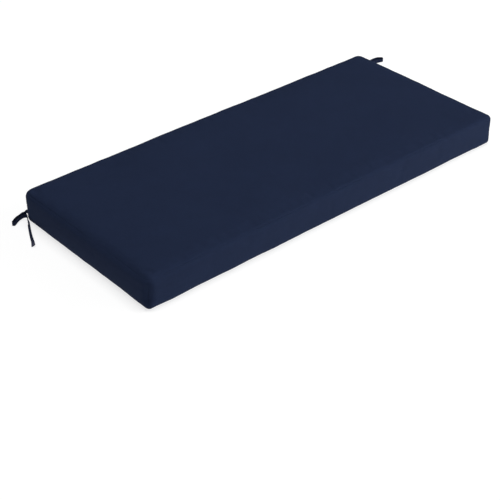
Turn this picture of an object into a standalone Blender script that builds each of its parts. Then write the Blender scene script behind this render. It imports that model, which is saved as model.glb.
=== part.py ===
"""Bench seat cushion: a foam block in a taut sewn cover, with one folded tie at each back corner.

Units are metres and +Z is up. The origin is the middle of the flat underside. +X runs along the
cushion, -Y is its front long side, and the ties are sewn into the two back corners.
"""

import math
from collections import namedtuple

import bpy
from mathutils import Vector

# Cushion: the filled, sewn block.
LENGTH = 1.0465
DEPTH = 0.457
THICKNESS = 0.0765
EDGE_RADIUS = 0.012        # rounding of the top and bottom edges
CROWN = 0.003              # how far the middle of the top stands above its edges
BAND_SWELL = 0.0012        # how far the band stands out half way up a side
SEAM_DEPTH = 0.0006        # the sewn edges are drawn in by this much
CROWN_POWER = 4            # the crown is flat in the middle and falls away near the edges

# Rounding of the upright corners, seen from above. The ties have pulled the back ones softer.
Corner = namedtuple("Corner", "side_x side_y radius")
CORNERS = [
    Corner(side_x=-1, side_y=1, radius=0.024),
    Corner(side_x=1, side_y=1, radius=0.0165),
    Corner(side_x=-1, side_y=-1, radius=EDGE_RADIUS),
    Corner(side_x=1, side_y=-1, radius=EDGE_RADIUS),
]

# Mesh steps of the cushion.
STEPS_ALONG = 28
STEPS_ACROSS = 12
STEPS_UP = 3
ROUND_STEPS = 3            # steps from a flat face to the seam in the middle of the rounded edge
SEAM_ANGLE = math.radians(45)

# Ties: a folded and stitched tape standing on its edge beside the cushion.
TIE_WIDTH = 0.010
TIE_THICKNESS = 0.0014
TIE_GAP = 0.0003           # from the end of the tape to the corner seam that it is sewn into
TIE_STEP = 0.006           # longest stretch of tape between two stations
TIE_TURN = math.radians(12)  # largest turn between two stations
ROOT_LIFT = 0.016          # height of the tape's lower edge at the seam

COVER_COLOUR = (0.016, 0.022, 0.050, 1.0)
TIE_COLOUR = (0.018, 0.024, 0.052, 1.0)
COVER_ROUGHNESS = 0.85

# Soft unevenness of the stuffed cover: long, low waves.
Ripple = namedtuple("Ripple", "per_metre_x per_metre_y phase height")
RIPPLES = [
    Ripple(per_metre_x=1.3, per_metre_y=1.1, phase=0.4, height=0.0004),
    Ripple(per_metre_x=-2.6, per_metre_y=3.1, phase=1.9, height=0.0003),
    Ripple(per_metre_x=4.3, per_metre_y=-2.2, phase=3.1, height=0.0002),
]

# A tie's course, bend by bend, from the seam to the free end: the length of tape in the bend, how
# far it turns to the left in degrees, and at the bend's end its tilt (90 stands on its edge, 0 lies
# flat) and the height of its lower edge.
Bend = namedtuple("Bend", "length turn tilt lift")
LEFT_HEADING = 130
LEFT_BENDS = [
    Bend(length=0.0025, turn=-23, tilt=90, lift=0.015),    # out of the corner seam
    Bend(length=0.0075, turn=52, tilt=90, lift=0.009),
    Bend(length=0.0165, turn=27, tilt=90, lift=0.004),     # far side of the loop
    Bend(length=0.0175, turn=23, tilt=90, lift=0.0),
    Bend(length=0.011, turn=183, tilt=90, lift=0.0),       # tip of the loop
    Bend(length=0.0185, turn=-15, tilt=90, lift=0.0025),   # near side of the loop
    Bend(length=0.015, turn=-60, tilt=90, lift=0.005),
    Bend(length=0.005, turn=-75, tilt=89, lift=0.005),     # sharply round in front of the corner
    Bend(length=0.0145, turn=4, tilt=84, lift=0.001),      # down along the end of the cushion
    Bend(length=0.011, turn=-4, tilt=62, lift=0.0),        # the tail leans over
    Bend(length=0.027, turn=1, tilt=62, lift=0.0),
    Bend(length=0.0335, turn=4, tilt=58, lift=0.0),
    Bend(length=0.0235, turn=-6, tilt=33, lift=0.0),
]
RIGHT_HEADING = 47
RIGHT_BENDS = [
    Bend(length=0.010, turn=-8, tilt=90, lift=0.011),      # out of the corner seam
    Bend(length=0.051, turn=-12, tilt=90, lift=0.003),     # far side of the loop
    Bend(length=0.051, turn=-17, tilt=90, lift=0.0),
    Bend(length=0.023, turn=-19, tilt=90, lift=0.0),
    Bend(length=0.016, turn=-39, tilt=90, lift=0.0),
    Bend(length=0.014, turn=-152, tilt=90, lift=0.0),      # tip of the loop
    Bend(length=0.029, turn=16, tilt=90, lift=0.0),        # near side, back to the free end
    Bend(length=0.016, turn=7, tilt=90, lift=0.0),
]

Station = namedtuple("Station", "x y heading tilt lift")


def clear_scene():
    """Take every object out of the scene."""
    for thing in list(bpy.data.objects):
        bpy.data.objects.remove(thing, do_unlink=True)


def fabric(name, colour):
    """A matt cloth material."""
    material = bpy.data.materials.new(name)
    material.use_nodes = True
    shader = material.node_tree.nodes["Principled BSDF"]
    shader.inputs["Base Color"].default_value = colour
    shader.inputs["Roughness"].default_value = COVER_ROUGHNESS
    shader.inputs["Metallic"].default_value = 0.0
    return material


def add_object(name, points, faces, material):
    """A named mesh object made of points and faces."""
    mesh = bpy.data.meshes.new(name)
    mesh.from_pydata([tuple(p) for p in points], [], faces)
    mesh.materials.append(material)
    mesh.shade_smooth()
    mesh.set_sharp_from_angle(angle=math.radians(40))
    thing = bpy.data.objects.new(name, mesh)
    bpy.context.scene.collection.objects.link(thing)
    return thing


# ---- Cushion -------------------------------------------------------------------------------------

HALF = Vector((LENGTH / 2, DEPTH / 2, THICKNESS / 2))
FLAT = HALF - Vector((EDGE_RADIUS, EDGE_RADIUS, EDGE_RADIUS))


def round_insets():
    """How far the lattice lines of a rounded edge lie in from the side, at even angles."""
    angles = [SEAM_ANGLE * i / ROUND_STEPS for i in range(ROUND_STEPS + 1)]
    return [EDGE_RADIUS * (1 - math.tan(angle)) for angle in angles]


def lattice_lines(half, insets, steps):
    """Places of the lattice lines across one axis: the insets at both ends, even steps between."""
    outer = [half - inset for inset in sorted(insets, reverse=True)]
    middle = [outer[0] * (2 * i / steps - 1) for i in range(1, steps)]
    return [-place for place in reversed(outer)] + middle + outer


def box_shell(lines):
    """Lattice points on the outside of a box, and its quads with their faces turned outwards."""
    last = [len(line) - 1 for line in lines]
    points = []
    numbers = {}

    def number(spot):
        if spot not in numbers:
            numbers[spot] = len(points)
            points.append(Vector([line[i] for line, i in zip(lines, spot)]))
        return numbers[spot]

    faces = []
    for axis in range(3):
        u, v = (axis + 1) % 3, (axis + 2) % 3
        for end in (0, last[axis]):
            for i in range(last[u]):
                for j in range(last[v]):
                    ring = []
                    for step_u, step_v in ((0, 0), (1, 0), (1, 1), (0, 1)):
                        spot = [0, 0, 0]
                        spot[axis] = end
                        spot[u] = i + step_u
                        spot[v] = j + step_v
                        ring.append(number(tuple(spot)))
                    faces.append(ring if end else ring[::-1])
    return points, faces


def fade(place, reach):
    """1 in the middle of a face and 0 at its edge."""
    return 1.0 - min(1.0, abs(place / reach)) ** CROWN_POWER


def corner_radius(x, y):
    """Radius of the upright corner in the same quarter as a point."""
    for corner in CORNERS:
        if corner.side_x * x >= 0 and corner.side_y * y >= 0:
            return corner.radius
    return EDGE_RADIUS


def onto_arc(inset, height):
    """A lattice point's inset and height on the rounded edge, and the way out of the surface there."""
    core_inset = max(inset, EDGE_RADIUS)
    core_height = max(-FLAT.z, min(FLAT.z, height))
    out = Vector((core_inset - inset, height - core_height))
    if out.length == 0:
        return inset, height, Vector((0, 0))
    out.normalize()
    return core_inset - EDGE_RADIUS * out.x, core_height + EDGE_RADIUS * out.y, out


def onto_plan(x, y, inset):
    """A lattice point's place in plan, and the way out of the side there."""
    radius = corner_radius(x, y)
    reach_x, reach_y = HALF.x - radius, HALF.y - radius
    core = Vector((max(-reach_x, min(reach_x, x)), max(-reach_y, min(reach_y, y))))
    out = Vector((x, y)) - core
    if out.length == 0:
        return core, out
    out.normalize()
    return core + (radius - inset) * out, out


def ripple(x, y):
    """Height of the soft waves in the cover."""
    total = 0.0
    for wave in RIPPLES:
        turns = wave.per_metre_x * x + wave.per_metre_y * y
        total += wave.height * math.sin(2 * math.pi * turns + wave.phase)
    return total


def on_seam(point):
    """Whether a lattice point lies where two of the cover's pieces are sewn together."""
    return sum(abs(c) > h - 1e-6 for c, h in zip(point, HALF)) >= 2


def stuffed(point):
    """A lattice point moved to the surface of the filled cover, above the flat underside."""
    side_inset = min(HALF.x - abs(point.x), HALF.y - abs(point.y))
    inset, height, section_out = onto_arc(side_inset, point.z)
    plan, plan_out = onto_plan(point.x, point.y, inset)
    out = Vector((plan_out.x * section_out.x, plan_out.y * section_out.x, section_out.y))
    band = fade(height, FLAT.z)
    push = CROWN * max(out.z, 0.0) * fade(plan.x, FLAT.x) * fade(plan.y, FLAT.y)
    push += BAND_SWELL * band * abs(out.x) * fade(plan.y, FLAT.y)
    push += BAND_SWELL * band * abs(out.y) * fade(plan.x, FLAT.x)
    push += ripple(plan.x, plan.y) * min(1.0, 1.0 + out.z)
    if on_seam(point):
        push -= SEAM_DEPTH
    return Vector((plan.x, plan.y, height + HALF.z)) + push * out


def make_cushion(material):
    """The one filled piece: top, bottom and band, sewn together along the rounded edges."""
    edge = round_insets()
    corners = [corner.radius for corner in CORNERS if corner.radius > EDGE_RADIUS]
    lines = [
        lattice_lines(HALF.x, edge + corners, STEPS_ALONG),
        lattice_lines(HALF.y, edge + corners, STEPS_ACROSS),
        lattice_lines(HALF.z, edge, STEPS_UP),
    ]
    points, faces = box_shell(lines)
    return add_object("cushion", [stuffed(p) for p in points], faces, material)


# ---- Ties ----------------------------------------------------------------------------------------


def corner_root(side):
    """Where a tie leaves the back corner seam; side is -1 for the left corner and 1 for the right."""
    radius = corner_radius(side, 1)
    reach = radius - SEAM_DEPTH + TIE_GAP
    x = HALF.x - radius + reach * math.cos(SEAM_ANGLE)
    y = HALF.y - radius + reach * math.sin(SEAM_ANGLE)
    return side * x, y


def tie_stations(side, heading, bends):
    """Stations along a tie, with even steps in each bend."""
    x, y = corner_root(side)
    heading = math.radians(heading)
    tilt, lift = 90.0, ROOT_LIFT
    stations = [Station(x, y, heading, math.radians(tilt), lift)]
    for bend in bends:
        turn = math.radians(bend.turn)
        steps = math.ceil(max(bend.length / TIE_STEP, abs(turn) / TIE_TURN))
        for i in range(1, steps + 1):
            heading += turn / steps / 2
            x += bend.length / steps * math.cos(heading)
            y += bend.length / steps * math.sin(heading)
            heading += turn / steps / 2
            share = i / steps
            station_tilt = math.radians(tilt + (bend.tilt - tilt) * share)
            stations.append(Station(x, y, heading, station_tilt, lift + (bend.lift - lift) * share))
        tilt, lift = bend.tilt, bend.lift
    return stations


def tape_ring(station):
    """The four corners of the tape's section at a station, its lower edge at the station's lift."""
    left = Vector((-math.sin(station.heading), math.cos(station.heading), 0.0))
    up = Vector((0.0, 0.0, 1.0))
    rise, lean = math.sin(station.tilt), math.cos(station.tilt)
    across = (left * lean + up * rise) * TIE_WIDTH / 2
    through = (up * lean - left * rise) * TIE_THICKNESS / 2
    height = station.lift + TIE_WIDTH / 2 * rise + TIE_THICKNESS / 2 * lean
    middle = Vector((station.x, station.y, height))
    return [
        middle - across - through,
        middle + across - through,
        middle + across + through,
        middle - across + through,
    ]


def make_tie(name, stations, material):
    """One tape, swept through its stations and closed at both ends."""
    points = []
    faces = []
    for station in stations:
        points += tape_ring(station)
    for row in range(len(stations) - 1):
        for corner in range(4):
            after = (corner + 1) % 4
            a, b = 4 * row + corner, 4 * row + after
            faces.append([a, b, b + 4, a + 4])
    end = 4 * (len(stations) - 1)
    faces.append([3, 2, 1, 0])
    faces.append([end, end + 1, end + 2, end + 3])
    return add_object(name, points, faces, material)


def main():
    clear_scene()
    cover = fabric("navy_cover", COVER_COLOUR)
    tape = fabric("navy_tape", TIE_COLOUR)
    make_cushion(cover)
    make_tie("tie_left", tie_stations(-1, LEFT_HEADING, LEFT_BENDS), tape)
    make_tie("tie_right", tie_stations(1, RIGHT_HEADING, RIGHT_BENDS), tape)


main()
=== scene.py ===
"""Looks of the bench seat cushion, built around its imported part.

Units are metres and +Z is up. The origin is the middle of the flat underside. +X runs along the
cushion, -Y is its front long side, and the two folded ties are sewn into the back corners.
"""

import math
from collections import namedtuple

import bpy
import numpy as np
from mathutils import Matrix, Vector, noise


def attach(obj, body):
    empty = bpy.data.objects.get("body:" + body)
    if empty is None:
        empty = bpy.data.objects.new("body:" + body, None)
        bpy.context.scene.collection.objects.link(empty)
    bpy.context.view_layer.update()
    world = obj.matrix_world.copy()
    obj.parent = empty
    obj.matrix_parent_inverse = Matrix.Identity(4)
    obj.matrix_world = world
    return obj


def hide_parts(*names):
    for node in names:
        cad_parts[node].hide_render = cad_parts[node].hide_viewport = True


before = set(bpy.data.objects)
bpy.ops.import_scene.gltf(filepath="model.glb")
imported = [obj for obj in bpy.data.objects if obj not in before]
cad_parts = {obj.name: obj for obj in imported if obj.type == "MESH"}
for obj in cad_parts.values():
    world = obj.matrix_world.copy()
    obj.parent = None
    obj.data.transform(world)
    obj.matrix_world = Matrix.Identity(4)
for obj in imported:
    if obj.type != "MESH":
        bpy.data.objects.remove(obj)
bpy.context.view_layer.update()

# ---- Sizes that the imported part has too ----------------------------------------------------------

LENGTH = 1.0465
DEPTH = 0.457
THICKNESS = 0.0765
EDGE_RADIUS = 0.012
CROWN = 0.003
BAND_SWELL = 0.0012
CROWN_POWER = 4
HALF = np.array([LENGTH, DEPTH, THICKNESS]) / 2
FLAT = HALF - EDGE_RADIUS

Corner = namedtuple("Corner", "side_x side_y radius")
CORNERS = [
    Corner(side_x=-1, side_y=1, radius=0.024),
    Corner(side_x=1, side_y=1, radius=0.0165),
    Corner(side_x=-1, side_y=-1, radius=EDGE_RADIUS),
    Corner(side_x=1, side_y=-1, radius=EDGE_RADIUS),
]

Ripple = namedtuple("Ripple", "per_metre_x per_metre_y phase height")
RIPPLES = [
    Ripple(per_metre_x=1.3, per_metre_y=1.1, phase=0.4, height=0.0004),
    Ripple(per_metre_x=-2.6, per_metre_y=3.1, phase=1.9, height=0.0003),
    Ripple(per_metre_x=4.3, per_metre_y=-2.2, phase=3.1, height=0.0002),
]

TIE_WIDTH = 0.010
TIE_THICKNESS = 0.0014
TIE_GAP = 0.0003
SEAM_DEPTH = 0.0006
SEAM_ANGLE = math.radians(45)
ROOT_LIFT = 0.016

Bend = namedtuple("Bend", "length turn tilt lift")
LEFT_HEADING = 130
LEFT_BENDS = [
    Bend(length=0.0025, turn=-23, tilt=90, lift=0.015),
    Bend(length=0.0075, turn=52, tilt=90, lift=0.009),
    Bend(length=0.0165, turn=27, tilt=90, lift=0.004),
    Bend(length=0.0175, turn=23, tilt=90, lift=0.0),
    Bend(length=0.011, turn=183, tilt=90, lift=0.0),
    Bend(length=0.0185, turn=-15, tilt=90, lift=0.0025),
    Bend(length=0.015, turn=-60, tilt=90, lift=0.005),
    Bend(length=0.005, turn=-75, tilt=89, lift=0.005),
    Bend(length=0.0145, turn=4, tilt=84, lift=0.001),
    Bend(length=0.011, turn=-4, tilt=62, lift=0.0),
    Bend(length=0.027, turn=1, tilt=62, lift=0.0),
    Bend(length=0.0335, turn=4, tilt=58, lift=0.0),
    Bend(length=0.0235, turn=-6, tilt=33, lift=0.0),
]
RIGHT_HEADING = 47
RIGHT_BENDS = [
    Bend(length=0.010, turn=-8, tilt=90, lift=0.011),
    Bend(length=0.051, turn=-12, tilt=90, lift=0.003),
    Bend(length=0.051, turn=-17, tilt=90, lift=0.0),
    Bend(length=0.023, turn=-19, tilt=90, lift=0.0),
    Bend(length=0.016, turn=-39, tilt=90, lift=0.0),
    Bend(length=0.014, turn=-152, tilt=90, lift=0.0),
    Bend(length=0.029, turn=16, tilt=90, lift=0.0),
    Bend(length=0.016, turn=7, tilt=90, lift=0.0),
]

# ---- Sizes of the detail that only the looks have ------------------------------------------------

CLOTH_STEP = 0.0043        # distance between mesh lines on the flat of a panel
# Mesh lines beside a seam, by their distance from it along the cloth.
SEAM_STEPS = [0.0, 0.0004, 0.0008, 0.0013, 0.0020, 0.0031, 0.0047, 0.0068]
# Mesh lines further in, where the wider roundings end, by how far in from the side they lie.
WIDE_INSETS = [0.0140, 0.0165, 0.0195, 0.0235, 0.0270]

GROOVE_DEPTH = 0.0010      # the line where two panels are sewn together
GROOVE_WIDTH = 0.0011

# Where the seams draw the filled cover in: a wide, shallow hollow along the seam, deepest at a
# place and fading out over its reach.
Draw = namedtuple("Draw", "x y reach depth")
DRAW_WIDTH = 0.0062
DRAWS = [
    Draw(x=-0.523, y=0.10, reach=0.16, depth=0.0011),
    Draw(x=-0.523, y=-0.13, reach=0.16, depth=0.0013),
    Draw(x=-0.30, y=-0.228, reach=0.22, depth=0.0007),
    Draw(x=0.10, y=-0.228, reach=0.25, depth=0.0006),
]

# The cover's cloth, simulated over the filling between its seams. It starts a little inside the
# cushion and swells back out, and the cloth is cut a little larger than what it covers.
SIM_STEP = 0.0095          # distance between the simulated mesh's lines
SIM_INSETS = [0.0, 0.0028, 0.0058, 0.0088]  # and where they lie beside a seam
SIM_FRAMES = 20
SIM_PRESSURE = 4.0
SIM_EXTRA_CLOTH = 0.004    # share by which the cloth is larger than what it covers
SIM_START_INSIDE = 0.0006
SIM_CAP = 0.0012           # how far the simulation may move a point
SIM_ON_BAND = 0.45         # share of the swell that the narrow band keeps
SIM_FADE = 0.011           # the swell dies out this near a seam

# Where the filling lets the top edge round off more softly: how much wider and how much deeper the
# rounding is there than EDGE_RADIUS.
Soft = namedtuple("Soft", "x y reach across down")
SOFT_EDGES = [
    Soft(x=-0.523, y=0.07, reach=0.11, across=0.012, down=0.004),
    Soft(x=-0.523, y=-0.13, reach=0.14, across=0.011, down=0.003),
    Soft(x=-0.34, y=-0.228, reach=0.20, across=0.007, down=0.002),
    Soft(x=0.05, y=-0.228, reach=0.22, across=0.003, down=0.001),
    Soft(x=0.523, y=0.11, reach=0.15, across=-0.0027, down=-0.0022),
    Soft(x=0.523, y=-0.13, reach=0.15, across=-0.0027, down=-0.0022),
]
EDGE_SPAN = 0.060          # the wider rounding has died out this far from the edge
NEAR_CORNER_SOFT = 0.011   # how much wider the upright front left corner is than its bottom seam
NEAR_CORNER_CLIMB = 0.016  # and the height over which it gets there

# Gathers of the cloth beside the seams: waves across the seam's run that die out away from it.
Gather = namedtuple("Gather", "wave height reach seed")
GATHERS = [
    Gather(wave=0.019, height=0.00030, reach=0.011, seed=3.0),
    Gather(wave=0.047, height=0.00055, reach=0.024, seed=11.0),
    Gather(wave=0.130, height=0.00070, reach=0.050, seed=23.0),
]
GATHER_START = 0.0022      # the seam itself stays straight: gathers begin this far from it
OUTLINE_LEVELS = 0.3       # keeps the top seam's gathers unlike the bottom seam's,
OUTLINE_REACH = 0.02       # down the band as far as this from the rounded edges
LEAST_INNER = 0.05         # nearest the middle that a point is still matched to the outline

CUT_MAP = "cloth_cut"      # each panel's own flat cut, in metres
CUT_APART = (0.31, 0.17)   # from one panel's cut to the next, so that no two share their threads


# ---- Materials -----------------------------------------------------------------------------------

COVER_COLOUR = (0.0147, 0.0220, 0.0488)
TAPE_COLOUR = (0.0120, 0.0165, 0.0370)
# Painted highlight: a paler colour painted on the left tie's free end, where the flat tape catches
# light.
END_HIGHLIGHT_COLOUR = (0.085, 0.085, 0.125)
END_HIGHLIGHT_LENGTH = 0.028    # the left tie's free end carries a painted highlight over this length
THREAD_COLOUR = (0.022, 0.031, 0.068)

# Each cloth's weave: from one thread to the next, how far the threads stand out, and the bloom.
COVER_WEAVE = {"pitch": 0.00085, "relief": 0.00022, "sheen": 0.006}
TAPE_WEAVE = {"pitch": 0.00060, "relief": 0.00014, "sheen": 0.006}

# How many times in a metre the cloth's threads wander, thicken, and change shade and tint.
WANDER_PER_METRE = 55.0
SLUBS_PER_METRE = 28.0
CLOUDS_PER_METRE = 7.0
TINTS_PER_METRE = 23.0
TWISTS_PER_METRE = 1400.0

# What the cloths' shine has in common: a matt surface with a cool, faint bloom.
SPECULAR_LEVEL = 0.03
SPECULAR_TINT = (0.40, 0.62, 1.0, 1.0)
SHEEN_ROUGHNESS = 0.45
SHEEN_TINT = (0.55, 0.68, 1.0, 1.0)


class Nodes:
    """Short calls that add nodes to one material and join them up."""

    def __init__(self, name):
        self.material = bpy.data.materials.new(name)
        self.material.use_nodes = True
        self.tree = self.material.node_tree
        self.shader = self.tree.nodes["Principled BSDF"]

    def put(self, socket, value):
        """Joins a node's output to a socket, or sets the socket to a number."""
        if isinstance(value, bpy.types.NodeSocket):
            self.tree.links.new(value, socket)
        else:
            socket.default_value = value

    def add(self, kind, inputs=(), **settings):
        node = self.tree.nodes.new(kind)
        for name, value in settings.items():
            setattr(node, name, value)
        for key, value in dict(inputs).items():
            self.put(node.inputs[key], value)
        return node

    def math(self, operation, a, b=0.0, c=0.0, clamp=False):
        node = self.add("ShaderNodeMath", {0: a, 1: b, 2: c}, operation=operation, use_clamp=clamp)
        return node.outputs[0]

    def mix(self, share, a, b, blend="MIX"):
        node = self.add("ShaderNodeMix", data_type="RGBA", blend_type=blend)
        self.put(node.inputs[0], share)
        self.put(node.inputs[6], a)
        self.put(node.inputs[7], b)
        return node.outputs[2]

    def noise(self, place, scale, detail=2.0, roughness=0.5):
        node = self.add(
            "ShaderNodeTexNoise",
            {"Vector": place, "Scale": scale, "Detail": detail, "Roughness": roughness},
        )
        return node.outputs[0]

    def spread(self, value, low, high):
        """A 0 to 1 value spread over low to high."""
        return self.math("MULTIPLY_ADD", value, high - low, low)


def rgba(colour, gain=1.0):
    """A colour made lighter or darker, as a socket takes it."""
    return tuple(c * gain for c in colour) + (1.0,)


def woven(name, colour, pitch, relief, sheen, highlight_from=None):
    """A plain-woven cloth: threads over and under each other, slubs, and slow changes of shade.
    From the given start along its map and over the highlight's length further on, it is painted ever
    paler: a painted highlight."""
    n = Nodes(name)
    cut = n.add("ShaderNodeUVMap", uv_map=CUT_MAP).outputs[0]
    wander = n.noise(cut, WANDER_PER_METRE)
    place = n.add("ShaderNodeSeparateXYZ", {0: cut})
    sway = n.math("MULTIPLY_ADD", wander, pitch * 3.0, -pitch * 1.5)
    across = n.math("ADD", place.outputs[0], sway)
    along = n.math("SUBTRACT", place.outputs[1], sway)
    wave_a = n.math("SINE", n.math("MULTIPLY", across, math.pi / pitch))
    wave_b = n.math("SINE", n.math("MULTIPLY", along, math.pi / pitch))
    over = n.math("MULTIPLY_ADD", n.math("MULTIPLY", wave_a, wave_b), 2.2, 0.5, clamp=True)
    round_a = n.math("POWER", n.math("ABSOLUTE", wave_a), 0.6)
    round_b = n.math("POWER", n.math("ABSOLUTE", wave_b), 0.6)
    warp = n.math("MULTIPLY", round_a, n.spread(round_b, 0.55, 1.0))
    weft = n.math("MULTIPLY", round_b, n.spread(round_a, 0.55, 1.0))
    under = n.math("SUBTRACT", 1.0, over)
    weave = n.math("ADD", n.math("MULTIPLY", warp, over), n.math("MULTIPLY", weft, under))

    def threads(x_scale, y_scale):
        """Noise that runs along one set of threads."""
        stretched = n.add("ShaderNodeMapping", {"Vector": cut, "Scale": (x_scale, y_scale, 1.0)})
        return n.noise(stretched.outputs[0], 1.0, 1.0)

    slub_warp = n.math("MULTIPLY", threads(1.0 / pitch, SLUBS_PER_METRE), over)
    slub_weft = n.math("MULTIPLY", threads(SLUBS_PER_METRE, 1.0 / pitch), under)
    slub = n.math("ADD", slub_warp, slub_weft)
    cloud = n.noise(cut, CLOUDS_PER_METRE, 3.0, 0.55)
    shade = n.math("MULTIPLY", n.spread(slub, 0.80, 1.20), n.spread(cloud, 0.93, 1.07))
    # Painted shade: the colour is darker where the weave lies low, between the threads.
    shade = n.math("MULTIPLY", shade, n.spread(weave, 0.88, 1.10))
    bluer = (colour[0], colour[1] * 1.02, colour[2] * 1.05)
    tinted = n.mix(n.noise(cut, TINTS_PER_METRE), rgba(colour, 0.97), rgba(bluer, 1.03))
    # Painted highlight: the tape is painted paler towards its free end.
    if highlight_from is not None:
        highlight_share = n.math("SUBTRACT", place.outputs[1], highlight_from)
        highlight_share = n.math("DIVIDE", highlight_share, END_HIGHLIGHT_LENGTH, clamp=True)
        highlight_share = n.math("MULTIPLY", highlight_share, highlight_share)
        tinted = n.mix(highlight_share, tinted, rgba(END_HIGHLIGHT_COLOUR))
    base = n.add("ShaderNodeVectorMath", {0: tinted}, operation="SCALE")
    n.put(base.inputs["Scale"], shade)
    n.put(n.shader.inputs["Base Color"], base.outputs[0])
    n.put(n.shader.inputs["Roughness"], n.spread(weave, 0.90, 0.78))
    n.shader.inputs["Specular IOR Level"].default_value = SPECULAR_LEVEL
    n.shader.inputs["Specular Tint"].default_value = SPECULAR_TINT
    n.shader.inputs["Sheen Weight"].default_value = sheen
    n.shader.inputs["Sheen Roughness"].default_value = SHEEN_ROUGHNESS
    n.shader.inputs["Sheen Tint"].default_value = SHEEN_TINT
    bump = n.add("ShaderNodeBump", {"Height": weave, "Strength": 0.55, "Distance": relief})
    n.put(n.shader.inputs["Normal"], bump.outputs[0])
    return n.material


def twisted(name, colour, roughness):
    """Stitching thread: light and dark along its twist."""
    n = Nodes(name)
    place = n.add("ShaderNodeNewGeometry").outputs["Position"]
    twist = n.noise(place, TWISTS_PER_METRE, 1.0)
    n.put(n.shader.inputs["Base Color"], n.mix(twist, rgba(colour, 0.8), rgba(colour, 1.25)))
    n.shader.inputs["Roughness"].default_value = roughness
    return n.material


# ---- Cushion -------------------------------------------------------------------------------------


def seam_insets():
    """How far in from the side the box's lattice lines lie, for the steps beside a seam."""
    steps = SEAM_STEPS + [EDGE_RADIUS * SEAM_ANGLE]
    return [EDGE_RADIUS * (1 - math.tan(SEAM_ANGLE - step / EDGE_RADIUS)) for step in steps]


def lattice_lines(half, insets, step=CLOTH_STEP):
    """Places of the lattice lines across one axis: the insets at both ends, even steps between."""
    outer = [half - inset for inset in sorted(insets, reverse=True)]
    count = math.ceil(2 * outer[0] / step)
    middle = [outer[0] * (2 * i / count - 1) for i in range(1, count)]
    return np.array([-place for place in reversed(outer)] + middle + outer)


def box_shell(lines):
    """Points on the outside of a box's lattice, its quads turned outwards, each quad's side, and
    the number of the point at each spot of the lattice."""
    last = [len(line) - 1 for line in lines]
    numbers = {}
    points, faces, sides = [], [], []

    def number(spot):
        if spot not in numbers:
            numbers[spot] = len(points)
            points.append([line[i] for line, i in zip(lines, spot)])
        return numbers[spot]

    for axis in range(3):
        u, v = (axis + 1) % 3, (axis + 2) % 3
        for end in (0, last[axis]):
            for i in range(last[u]):
                for j in range(last[v]):
                    ring = []
                    for step_u, step_v in ((0, 0), (1, 0), (1, 1), (0, 1)):
                        spot = [0, 0, 0]
                        spot[axis], spot[u], spot[v] = end, i + step_u, j + step_v
                        ring.append(number(tuple(spot)))
                    faces.append(ring if end else ring[::-1])
                    sides.append(axis)
    return np.array(points), faces, np.array(sides), numbers


def fade(place, reach):
    """1 in the middle of a face and 0 at its edge."""
    return 1.0 - np.minimum(1.0, np.abs(place / reach)) ** CROWN_POWER


def unit(vectors):
    """Vectors of length one, with zero ones left at zero."""
    length = np.linalg.norm(vectors, axis=1, keepdims=True)
    return vectors / np.where(length > 1e-12, length, 1.0)


def ripple(x, y):
    """Height of the soft waves in the cover."""
    total = np.zeros(len(x))
    for wave in RIPPLES:
        turns = wave.per_metre_x * x + wave.per_metre_y * y
        total += wave.height * np.sin(2 * math.pi * turns + wave.phase)
    return total


def waves(places, seed):
    """Smooth noise, about -1 to 1, at each place."""
    start = Vector((seed * 3.7, seed * 1.3, seed))
    return np.array([noise.noise(Vector(p) + start) for p in places]) * 2.0


def arc_from_seam(over, radius):
    """Distance along the cloth from a seam; over is how far the lattice point is past the flat."""
    angle = np.arctan(np.clip(over, 0.0, None) / radius)
    return radius * (SEAM_ANGLE - angle) + np.clip(-over, 0.0, None)


def softness(x, y, z):
    """How much wider and deeper than EDGE_RADIUS the rounding of the top edge is at each point."""
    across, down = np.zeros(len(x)), np.zeros(len(x))
    for spot in SOFT_EDGES:
        share = np.exp(-((x - spot.x) ** 2 + (y - spot.y) ** 2) / spot.reach**2)
        across += spot.across * share
        down += spot.down * share
    upper = np.clip(z / FLAT[2] * 2, 0, 1)
    return across * upper, down * upper


def spread_edge(inset, more, span):
    """Lattice insets moved so that a rounding that is wider by more has its lattice lines."""
    wider = inset * (EDGE_RADIUS + more) / EDGE_RADIUS
    beyond = inset + more * np.clip((span - inset) / (span - EDGE_RADIUS), 0, 1)
    return np.where(inset < EDGE_RADIUS, wider, beyond)


# The filled cover's points, the way out at each, where on the outline each belongs, and how far it
# is along the cloth from the top or bottom seam and from the nearest seam.
Surface = namedtuple("Surface", "points out outline from_edge from_seam")


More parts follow.
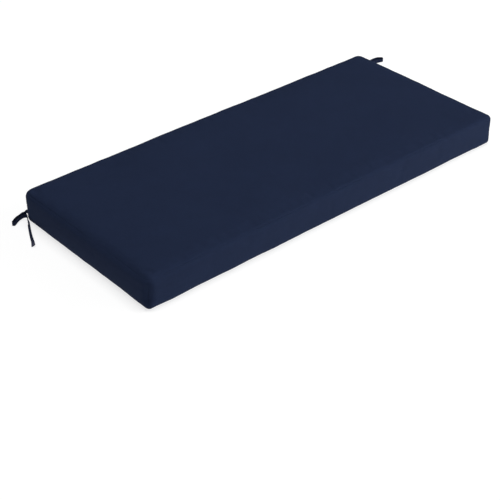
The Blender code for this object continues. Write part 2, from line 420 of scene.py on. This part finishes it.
def filled(lattice):
    """Lattice points of the box moved to the surface of the filled cover."""
    x, y, z = lattice.T
    on_band = np.minimum(HALF[0] - np.abs(x), HALF[1] - np.abs(y)) < 1e-9
    more_across, more_down = softness(x, y, z)
    wide, deep = EDGE_RADIUS + more_across, EDGE_RADIUS + more_down
    x = np.sign(x) * (HALF[0] - spread_edge(HALF[0] - np.abs(x), more_across, EDGE_SPAN))
    y = np.sign(y) * (HALF[1] - spread_edge(HALF[1] - np.abs(y), more_across, EDGE_SPAN))
    z = HALF[2] - spread_edge(HALF[2] - z, more_down, HALF[2])

    radius = np.full(len(x), EDGE_RADIUS)
    for corner in CORNERS:
        here = (corner.side_x * x >= 0) & (corner.side_y * y >= 0)
        radius[here] = corner.radius
    near_corner = (x < 0) & (y < 0)
    climb = np.clip((z + FLAT[2]) / NEAR_CORNER_CLIMB, 0, 1)
    radius = radius + near_corner * NEAR_CORNER_SOFT * climb * climb * (3 - 2 * climb)

    # The rounded top and bottom edges.
    inset = np.minimum(HALF[0] - np.abs(x), HALF[1] - np.abs(y))
    core_inset = np.maximum(inset, wide)
    core_height = np.clip(z, -FLAT[2], HALF[2] - deep)
    section = unit(np.stack([(core_inset - inset) / wide, (z - core_height) / deep], 1))
    drawn_inset = core_inset - wide * section[:, 0]
    height = core_height + deep * section[:, 1]
    section_out = unit(section / np.stack([wide, deep], 1))

    # The upright corners.
    core_x = np.clip(x, radius - HALF[0], HALF[0] - radius)
    core_y = np.clip(y, radius - HALF[1], HALF[1] - radius)
    core = np.stack([core_x, core_y], 1)
    plan_out = unit(np.stack([x, y], 1) - core)
    plan = core + plan_out * (radius - drawn_inset)[:, None]
    out = np.concatenate([plan_out * section_out[:, :1], section_out[:, 1:]], 1)

    # The filling's crown and the band's swell.
    band = fade(height, HALF[2] - deep)
    push = CROWN * np.maximum(out[:, 2], 0) * fade(plan[:, 0], FLAT[0]) * fade(plan[:, 1], FLAT[1])
    push += BAND_SWELL * band * np.abs(out[:, 0]) * fade(plan[:, 1], FLAT[1])
    push += BAND_SWELL * band * np.abs(out[:, 1]) * fade(plan[:, 0], FLAT[0])
    push += ripple(plan[:, 0], plan[:, 1]) * np.minimum(1.0, 1.0 + out[:, 2])

    # Distance along the cloth from the nearest seam.
    over = np.where(on_band, (np.abs(z) - HALF[2] + deep) / deep, (wide - inset) / wide)
    from_edge = arc_from_seam(over, 1.0) * np.where(on_band, deep, wide)
    past = np.minimum(np.abs(x) - (HALF[0] - radius), np.abs(y) - (HALF[1] - radius))
    from_corner = np.where(on_band, arc_from_seam(past, radius), 1.0)
    from_seam = np.minimum(from_edge, from_corner)

    # Where on the outline a point belongs, so that gathers run square to the seams.
    scale_x = HALF[0] / np.maximum(HALF[0] - inset, LEAST_INNER)
    scale_y = HALF[1] / np.maximum(HALF[1] - inset, LEAST_INNER)
    level = np.sign(z) * OUTLINE_LEVELS * (np.abs(z) > FLAT[2] - OUTLINE_REACH)
    outline = np.stack([x * scale_x, y * scale_y, level], 1)
    points = np.concatenate([plan, (height + HALF[2])[:, None]], 1) + push[:, None] * out
    return Surface(points, out, outline, from_edge, from_seam)


def sewn_detail(surface):
    """How far out each point moves for the seams' line, and the hollows and gathers beside it."""
    settle = 1.0 - np.exp(-((surface.from_seam / GATHER_START) ** 2))
    push = -GROOVE_DEPTH * np.exp(-((surface.from_seam / GROOVE_WIDTH) ** 2))
    x, y = surface.points[:, 0], surface.points[:, 1]
    drawn = sum(
        draw.depth * np.exp(-((x - draw.x) ** 2 + (y - draw.y) ** 2) / draw.reach**2)
        for draw in DRAWS
    )
    push -= drawn * np.exp(-((surface.from_seam / DRAW_WIDTH) ** 2))
    for gather in GATHERS:
        shape = waves(surface.outline / gather.wave, gather.seed)
        push += gather.height * shape * np.exp(-surface.from_edge / gather.reach) * settle
    return push


# ---- Cloth simulation of the cover ---------------------------------------------------------------


def simulate(points, faces, pinned):
    """Where the cover's points go when its cloth swells under pressure with its seams held."""
    mesh = bpy.data.meshes.new("simulated_cover")
    mesh.from_pydata([tuple(p) for p in points], [], faces)
    cover = bpy.data.objects.new("simulated_cover", mesh)
    bpy.context.scene.collection.objects.link(cover)
    seams = cover.vertex_groups.new(name="seams")
    seams.add([int(i) for i in np.flatnonzero(pinned)], 1.0, "REPLACE")
    cloth = cover.modifiers.new("cloth", "CLOTH")
    settings = cloth.settings
    settings.quality = 5
    settings.mass = 0.3
    settings.tension_stiffness = settings.compression_stiffness = 80.0
    settings.shear_stiffness = 5.0
    settings.bending_stiffness = 2.0
    settings.vertex_group_mass = "seams"
    settings.use_pressure = True
    settings.uniform_pressure_force = SIM_PRESSURE
    settings.shrink_min = -SIM_EXTRA_CLOTH
    settings.effector_weights.gravity = 0.0
    cloth.point_cache.frame_start = 1
    cloth.point_cache.frame_end = SIM_FRAMES
    scene = bpy.context.scene
    for frame_number in range(1, SIM_FRAMES + 1):
        scene.frame_set(frame_number)
    done = cover.evaluated_get(bpy.context.evaluated_depsgraph_get()).to_mesh()
    moved = np.zeros(len(points) * 3, np.float32)
    done.vertices.foreach_get("co", moved)
    bpy.data.objects.remove(cover)
    bpy.data.meshes.remove(mesh)
    scene.frame_set(1)
    return moved.reshape(-1, 3).astype(float)


def cubic_weights(share):
    """Weights of the four lines round a place, for a smooth curve through them."""
    t = share[:, None]
    weights = [
        (-t + 2 * t**2 - t**3) / 2,
        (2 - 5 * t**2 + 3 * t**3) / 2,
        (t + 4 * t**2 - 3 * t**3) / 2,
        (-(t**2) + t**3) / 2,
    ]
    return np.concatenate(weights, 1)


def line_share(places, lines):
    """For each place, the four lattice lines round it and their weights."""
    low = np.clip(np.searchsorted(lines, places, side="right") - 1, 0, len(lines) - 2)
    share = np.clip((places - lines[low]) / (lines[low + 1] - lines[low]), 0, 1)
    around = np.clip(low[:, None] + np.arange(-1, 3), 0, len(lines) - 1)
    return around, cubic_weights(share)


def cloth_swell(lattice):
    """How far the simulated cloth moves each lattice point out of or into the filled surface."""
    swell = np.zeros(len(lattice))
    lines = [lattice_lines(half, SIM_INSETS + [EDGE_RADIUS], SIM_STEP) for half in HALF]
    coarse, faces, _, numbers = box_shell(lines)
    start = filled(coarse)
    pinned = (np.abs(coarse) > HALF - 1e-9).sum(1) >= 2
    inside = SIM_START_INSIDE * (1.0 - pinned)
    begun = start.points - start.out * inside[:, None]
    moved = simulate(begun, faces, pinned)
    rise = ((moved - begun) * start.out).sum(1)
    rise = rise / np.sqrt(1.0 + (rise / SIM_CAP) ** 2) - inside
    rise *= 1.0 - np.exp(-((start.from_seam / SIM_FADE) ** 2))
    rise *= SIM_ON_BAND + (1.0 - SIM_ON_BAND) * np.abs(start.out[:, 2])
    rise[start.out[:, 2] < -0.99] = 0.0

    # From the simulated mesh to the finer one, one side of the box at a time.
    for axis in range(3):
        u, v = (axis + 1) % 3, (axis + 2) % 3
        for end in (0, len(lines[axis]) - 1):
            here = np.abs(lattice[:, axis] - lines[axis][end]) < 1e-9
            near_u, weight_u = line_share(lattice[here, u], lines[u])
            near_v, weight_v = line_share(lattice[here, v], lines[v])
            grid = np.zeros((len(lines[u]), len(lines[v])))
            spot = [0, 0, 0]
            for i in range(len(lines[u])):
                for j in range(len(lines[v])):
                    spot[axis], spot[u], spot[v] = end, i, j
                    grid[i, j] = rise[numbers[tuple(spot)]]
            taken = grid[near_u[:, :, None], near_v[:, None, :]]
            swell[here] = (taken * weight_u[:, :, None] * weight_v[:, None, :]).sum((1, 2))
    return swell


def unrolled(place, flat, radius):
    """A lattice place measured along the cloth, round a rounded edge or corner."""
    past = np.maximum(np.abs(place) - flat, 0.0)
    return np.sign(place) * (np.minimum(np.abs(place), flat) + radius * np.arctan(past / radius))


def cut_places(lattice, faces, sides):
    """For each corner of each quad, its place on the flat cut of its panel."""
    spots = np.array(faces).ravel()
    axis = np.repeat(sides, 4)
    rolled = np.stack([unrolled(lattice[:, k], FLAT[k], EDGE_RADIUS) for k in range(3)], 1)[spots]
    upright = axis == 2
    u = np.where(axis == 0, rolled[:, 1], rolled[:, 0])
    v = np.where(upright, rolled[:, 1], rolled[:, 2])
    return np.stack([u + axis * CUT_APART[0], v + axis * CUT_APART[1]], 1)


def mesh_object(name, points, faces, cut, material):
    """A smooth-shaded mesh with its cloth map, riding on the part's one body."""
    mesh = bpy.data.meshes.new(name)
    mesh.from_pydata([tuple(p) for p in points], [], [tuple(f) for f in faces])
    if cut is not None:
        layer = mesh.uv_layers.new(name=CUT_MAP)
        layer.uv.foreach_set("vector", np.asarray(cut, np.float32).ravel())
    mesh.materials.append(material)
    mesh.shade_smooth()
    thing = bpy.data.objects.new(name, mesh)
    bpy.context.scene.collection.objects.link(thing)
    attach(thing, "root")
    return thing


def make_cushion(material):
    """The filled cover: top, bottom and band in one closed mesh."""
    edge = seam_insets()
    lines = [
        lattice_lines(HALF[0], edge + WIDE_INSETS),
        lattice_lines(HALF[1], edge + WIDE_INSETS),
        lattice_lines(HALF[2], edge),
    ]
    lattice, faces, sides, _ = box_shell(lines)
    surface = filled(lattice)
    push = sewn_detail(surface) + cloth_swell(lattice)
    points = surface.points + surface.out * push[:, None]
    points[:, 2] = np.maximum(points[:, 2], 0.0)
    thing = mesh_object("cover", points, faces, cut_places(lattice, faces, sides), material)
    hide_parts("cushion")


# ---- Ties ----------------------------------------------------------------------------------------

TAPE_STEP = 0.0016         # longest stretch of tape between two stations
TAPE_TURN = math.radians(5)  # largest turn between two stations
ROOT_TUCK = 0.003          # the tape goes on into the seam
STITCH_LINE = 0.0033       # from the tape's middle to each row of topstitching
STITCH_LENGTH = 0.0021
STITCH_EVERY = 0.0030
STITCH_RADIUS = 0.00019
STITCH_SIDES = 6
STITCH_FIRST = 0.0015      # from the seam to the first stitch
STITCH_LAST = 0.001        # from the last stitch to the tape's end, at least
STITCH_BED = 0.76          # the tape's thickness under the stitches, as a share of the whole
# One stitch: places along it as shares of its length, and its girth there as a share of the whole.
STITCH_PROFILE = [(-0.5, 0.25), (-0.38, 0.85), (0.0, 1.0), (0.38, 0.85), (0.5, 0.25)]
# The tape's half section: places across it, and the thickness there as a share of the whole.
HALF_SECTION = [
    (0.0000, 0.97), (0.0012, 1.00), (0.0024, 0.96), (0.0030, 0.84), (0.0033, STITCH_BED),
    (0.0036, 0.84), (0.0041, 0.95), (0.0045, 0.90), (0.0048, 0.66), (0.0050, 0.24),
]

Station = namedtuple("Station", "place along across through run")


def corner_radius(side):
    """Radius of the back corner on one side, -1 for the left and 1 for the right."""
    return next(c.radius for c in CORNERS if c.side_x == side and c.side_y == 1)


def tape_stations(side, heading, bends):
    """Stations along a tie, from inside the corner seam to the free end."""
    radius = corner_radius(side)
    reach = radius - SEAM_DEPTH + TIE_GAP
    x = side * (HALF[0] - radius + reach * math.cos(SEAM_ANGLE))
    y = HALF[1] - radius + reach * math.sin(SEAM_ANGLE)
    heading = math.radians(heading)
    tilt, lift, run = 90.0, ROOT_LIFT, 0.0
    tucked_x, tucked_y = x - ROOT_TUCK * math.cos(heading), y - ROOT_TUCK * math.sin(heading)
    rows = [
        (tucked_x, tucked_y, heading, tilt, lift, -ROOT_TUCK),
        (x, y, heading, tilt, lift, run),
    ]
    for bend in bends:
        turn = math.radians(bend.turn)
        steps = math.ceil(max(bend.length / TAPE_STEP, abs(turn) / TAPE_TURN))
        for i in range(1, steps + 1):
            heading += turn / steps / 2
            x += bend.length / steps * math.cos(heading)
            y += bend.length / steps * math.sin(heading)
            heading += turn / steps / 2
            run += bend.length / steps
            share = i / steps
            ease = share * share * (3 - 2 * share)
            tilt_here = tilt + (bend.tilt - tilt) * ease
            lift_here = lift + (bend.lift - lift) * ease
            rows.append((x, y, heading, tilt_here, lift_here, run))
        tilt, lift = bend.tilt, bend.lift
    return [tape_station(*row) for row in rows]


def tape_station(x, y, heading, tilt, lift, run):
    """One station: the middle of the tape, and its directions along, across and through."""
    tilt = math.radians(tilt)
    left = Vector((-math.sin(heading), math.cos(heading), 0.0))
    up = Vector((0.0, 0.0, 1.0))
    across = left * math.cos(tilt) + up * math.sin(tilt)
    through = up * math.cos(tilt) - left * math.sin(tilt)
    height = lift + TIE_WIDTH / 2 * math.sin(tilt) + TIE_THICKNESS / 2 * math.cos(tilt)
    along = Vector((math.cos(heading), math.sin(heading), 0.0))
    return Station(Vector((x, y, height)), along, across, through, run)


def tape_section():
    """The tape's whole section as (across, through) places, once round."""
    right = [(a, TIE_THICKNESS / 2 * t) for a, t in HALF_SECTION]
    top = [(-a, t) for a, t in reversed(right[1:])] + right
    return [(a, -t) for a, t in top] + [(a, t) for a, t in reversed(top)]


def make_tape(name, node, stations, material, thread):
    """One folded tape with its two rows of topstitching, standing for its CAD node."""
    section = tape_section()
    size = len(section)
    points, faces, cut = [], [], []
    rounds = [0.0]         # how far round the section each of its points is
    for (a, t), (b, s) in zip(section, section[1:] + section[:1]):
        rounds.append(rounds[-1] + math.hypot(b - a, s - t))
    for station in stations:
        for across, through in section:
            points.append(station.place + station.across * across + station.through * through)
    for row in range(len(stations) - 1):
        for k in range(size):
            after = (k + 1) % size
            a, b = size * row + k, size * row + after
            faces.append((a, b, b + size, a + size))
            run, on = stations[row].run, stations[row + 1].run
            cut += [(rounds[k], run), (rounds[k + 1], run), (rounds[k + 1], on), (rounds[k], on)]

    # The two ends, each closed with a strip of quads.
    last = size * (len(stations) - 1)
    for start, turned in ((0, True), (last, False)):
        for k in range(size // 2 - 1):
            ring = [start + k, start + k + 1, start + size - 2 - k, start + size - 1 - k]
            faces.append(tuple(reversed(ring)) if turned else tuple(ring))
            cut += [(0.0, 0.0)] * 4
    tape = mesh_object(name, points, faces, cut, material)
    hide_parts(node)
    rows = make_stitching(name + "_stitching", stations, thread)


def station_at(stations, run):
    """The station at a run along the tape, between its neighbours."""
    after = next(i for i, s in enumerate(stations) if s.run >= run)
    a, b = stations[after - 1], stations[after]
    share = (run - a.run) / (b.run - a.run)
    return Station(*[p.lerp(q, share) for p, q in zip(a[:4], b[:4])], run)


def add_stitch(points, faces, stations, run, row, face):
    """One stitch from a run along the tape, on one of its faces: a short closed rod that bulges out
    of the cloth and sinks in at both ends."""
    bed = TIE_THICKNESS / 2 * STITCH_BED
    sides = STITCH_SIDES
    first = len(points)
    for part, girth in STITCH_PROFILE:
        s = station_at(stations, run + STITCH_LENGTH * (part + 0.5))
        sink = STITCH_RADIUS * (1.0 if abs(part) < 0.45 else -0.3)
        middle = s.place + s.across * row + s.through * face * (bed + sink * 0.5)
        for k in range(sides):
            angle = 2 * math.pi * k / sides
            points.append(
                middle
                + s.across * STITCH_RADIUS * girth * math.cos(angle)
                + s.through * STITCH_RADIUS * girth * math.sin(angle)
            )
    for ring in range(len(STITCH_PROFILE) - 1):
        for k in range(sides):
            a = first + ring * sides + k
            b = first + ring * sides + (k + 1) % sides
            faces.append((a, b, b + sides, a + sides))
    end = first + (len(STITCH_PROFILE) - 1) * sides
    faces.append(tuple(first + k for k in reversed(range(sides))))
    faces.append(tuple(end + k for k in range(sides)))


def make_stitching(name, stations, material):
    """Short raised stitches in two rows on both faces of a tape."""
    points, faces = [], []
    run = STITCH_FIRST
    while run + STITCH_LENGTH < stations[-1].run - STITCH_LAST:
        for row in (-STITCH_LINE, STITCH_LINE):
            for face in (-1, 1):
                add_stitch(points, faces, stations, run, row, face)
        run += STITCH_EVERY
    rows = mesh_object(name, points, faces, None, material)
    return rows


# ---- Floor, light and camera ---------------------------------------------------------------------

WHITE = (1.0, 1.0, 1.0, 1.0)
FLOOR_COLOUR = (0.35, 0.35, 0.35)
FLOOR_GLOW = 0.75
FLOOR_REACH = 30.0
SKY = 0.12

# Softboxes, by the direction that each shines from: azimuth 0 is the front and 90 the right end.
Softbox = namedtuple("Softbox", "name azimuth elevation distance size power")
SOFTBOXES = [
    Softbox(name="overhead", azimuth=0, elevation=89.9, distance=5.0, size=3.0, power=160.3),
    Softbox(name="front", azimuth=30, elevation=12, distance=5.0, size=3.0, power=55.4),
    Softbox(name="right", azimuth=60, elevation=12, distance=5.0, size=3.0, power=223.3),
    Softbox(name="back", azimuth=-150, elevation=12, distance=5.0, size=3.0, power=10.4),
]

CAMERA_PLACE = (-1.667779, -1.856460, 1.516869)
CAMERA_AZIMUTH = -40.964
CAMERA_ELEVATION = 34.541
CAMERA_LENS = 89.7408
CAMERA_FAR = 100.0
SENSOR = 36.0


def towards(azimuth, elevation):
    """The direction from the object to what shines or looks at it."""
    a, e = math.radians(azimuth), math.radians(elevation)
    return Vector((math.sin(a) * math.cos(e), -math.cos(a) * math.cos(e), math.sin(e)))


def make_floor():
    """A plain pale floor under the object."""
    n = Nodes("pale_floor")
    n.shader.inputs["Base Color"].default_value = rgba(FLOOR_COLOUR)
    n.shader.inputs["Roughness"].default_value = 0.9
    n.shader.inputs["Specular IOR Level"].default_value = 0.0
    n.shader.inputs["Emission Color"].default_value = WHITE
    n.shader.inputs["Emission Strength"].default_value = FLOOR_GLOW
    mesh = bpy.data.meshes.new("floor")
    ways = ((-1, -1), (1, -1), (1, 1), (-1, 1))
    mesh.from_pydata([(x * FLOOR_REACH, y * FLOOR_REACH, 0) for x, y in ways], [], [(0, 1, 2, 3)])
    mesh.materials.append(n.material)
    floor = bpy.data.objects.new("floor", mesh)
    bpy.context.scene.collection.objects.link(floor)


def make_lights():
    """White surroundings and large softboxes."""
    world = bpy.data.worlds.new("studio")
    world.use_nodes = True
    background = world.node_tree.nodes["Background"]
    background.inputs["Color"].default_value = WHITE
    background.inputs["Strength"].default_value = SKY
    bpy.context.scene.world = world
    for box in SOFTBOXES:
        light = bpy.data.lights.new(box.name, "AREA")
        light.shape = "SQUARE"
        light.size = box.size
        light.energy = box.power
        lamp = bpy.data.objects.new(box.name, light)
        direction = towards(box.azimuth, box.elevation)
        lamp.location = direction * box.distance
        lamp.rotation_mode = "QUATERNION"
        lamp.rotation_quaternion = direction.to_track_quat("Z", "Y")
        bpy.context.scene.collection.objects.link(lamp)


def make_camera():
    """The camera at the photograph's viewing angle."""
    camera = bpy.data.cameras.new("camera")
    camera.sensor_fit = "HORIZONTAL"
    camera.sensor_width = SENSOR
    camera.lens = CAMERA_LENS
    camera.clip_end = CAMERA_FAR
    thing = bpy.data.objects.new("camera", camera)
    thing.location = CAMERA_PLACE
    thing.rotation_mode = "QUATERNION"
    thing.rotation_quaternion = towards(CAMERA_AZIMUTH, CAMERA_ELEVATION).to_track_quat("Z", "Y")
    bpy.context.scene.collection.objects.link(thing)
    bpy.context.scene.camera = thing


def main():
    make_camera()
    make_floor()
    make_lights()
    view = bpy.context.scene.view_settings
    view.view_transform = "Standard"
    view.look = "None"
    cover = woven("navy_cover_cloth", COVER_COLOUR, **COVER_WEAVE)
    tape = woven("navy_tape_cloth", TAPE_COLOUR, **TAPE_WEAVE)
    # Where the painted highlight on the left tie's free end begins.
    highlight_from = sum(bend.length for bend in LEFT_BENDS) - END_HIGHLIGHT_LENGTH
    left_tape = woven("navy_tape_cloth_end_highlight", TAPE_COLOUR, highlight_from=highlight_from, **TAPE_WEAVE)
    thread = twisted("navy_thread", THREAD_COLOUR, 0.6)
    make_cushion(cover)
    left, right = (-1, LEFT_HEADING, LEFT_BENDS), (1, RIGHT_HEADING, RIGHT_BENDS)
    make_tape("tape_left", "tie_left", tape_stations(*left), left_tape, thread)
    make_tape("tape_right", "tie_right", tape_stations(*right), tape, thread)


main()
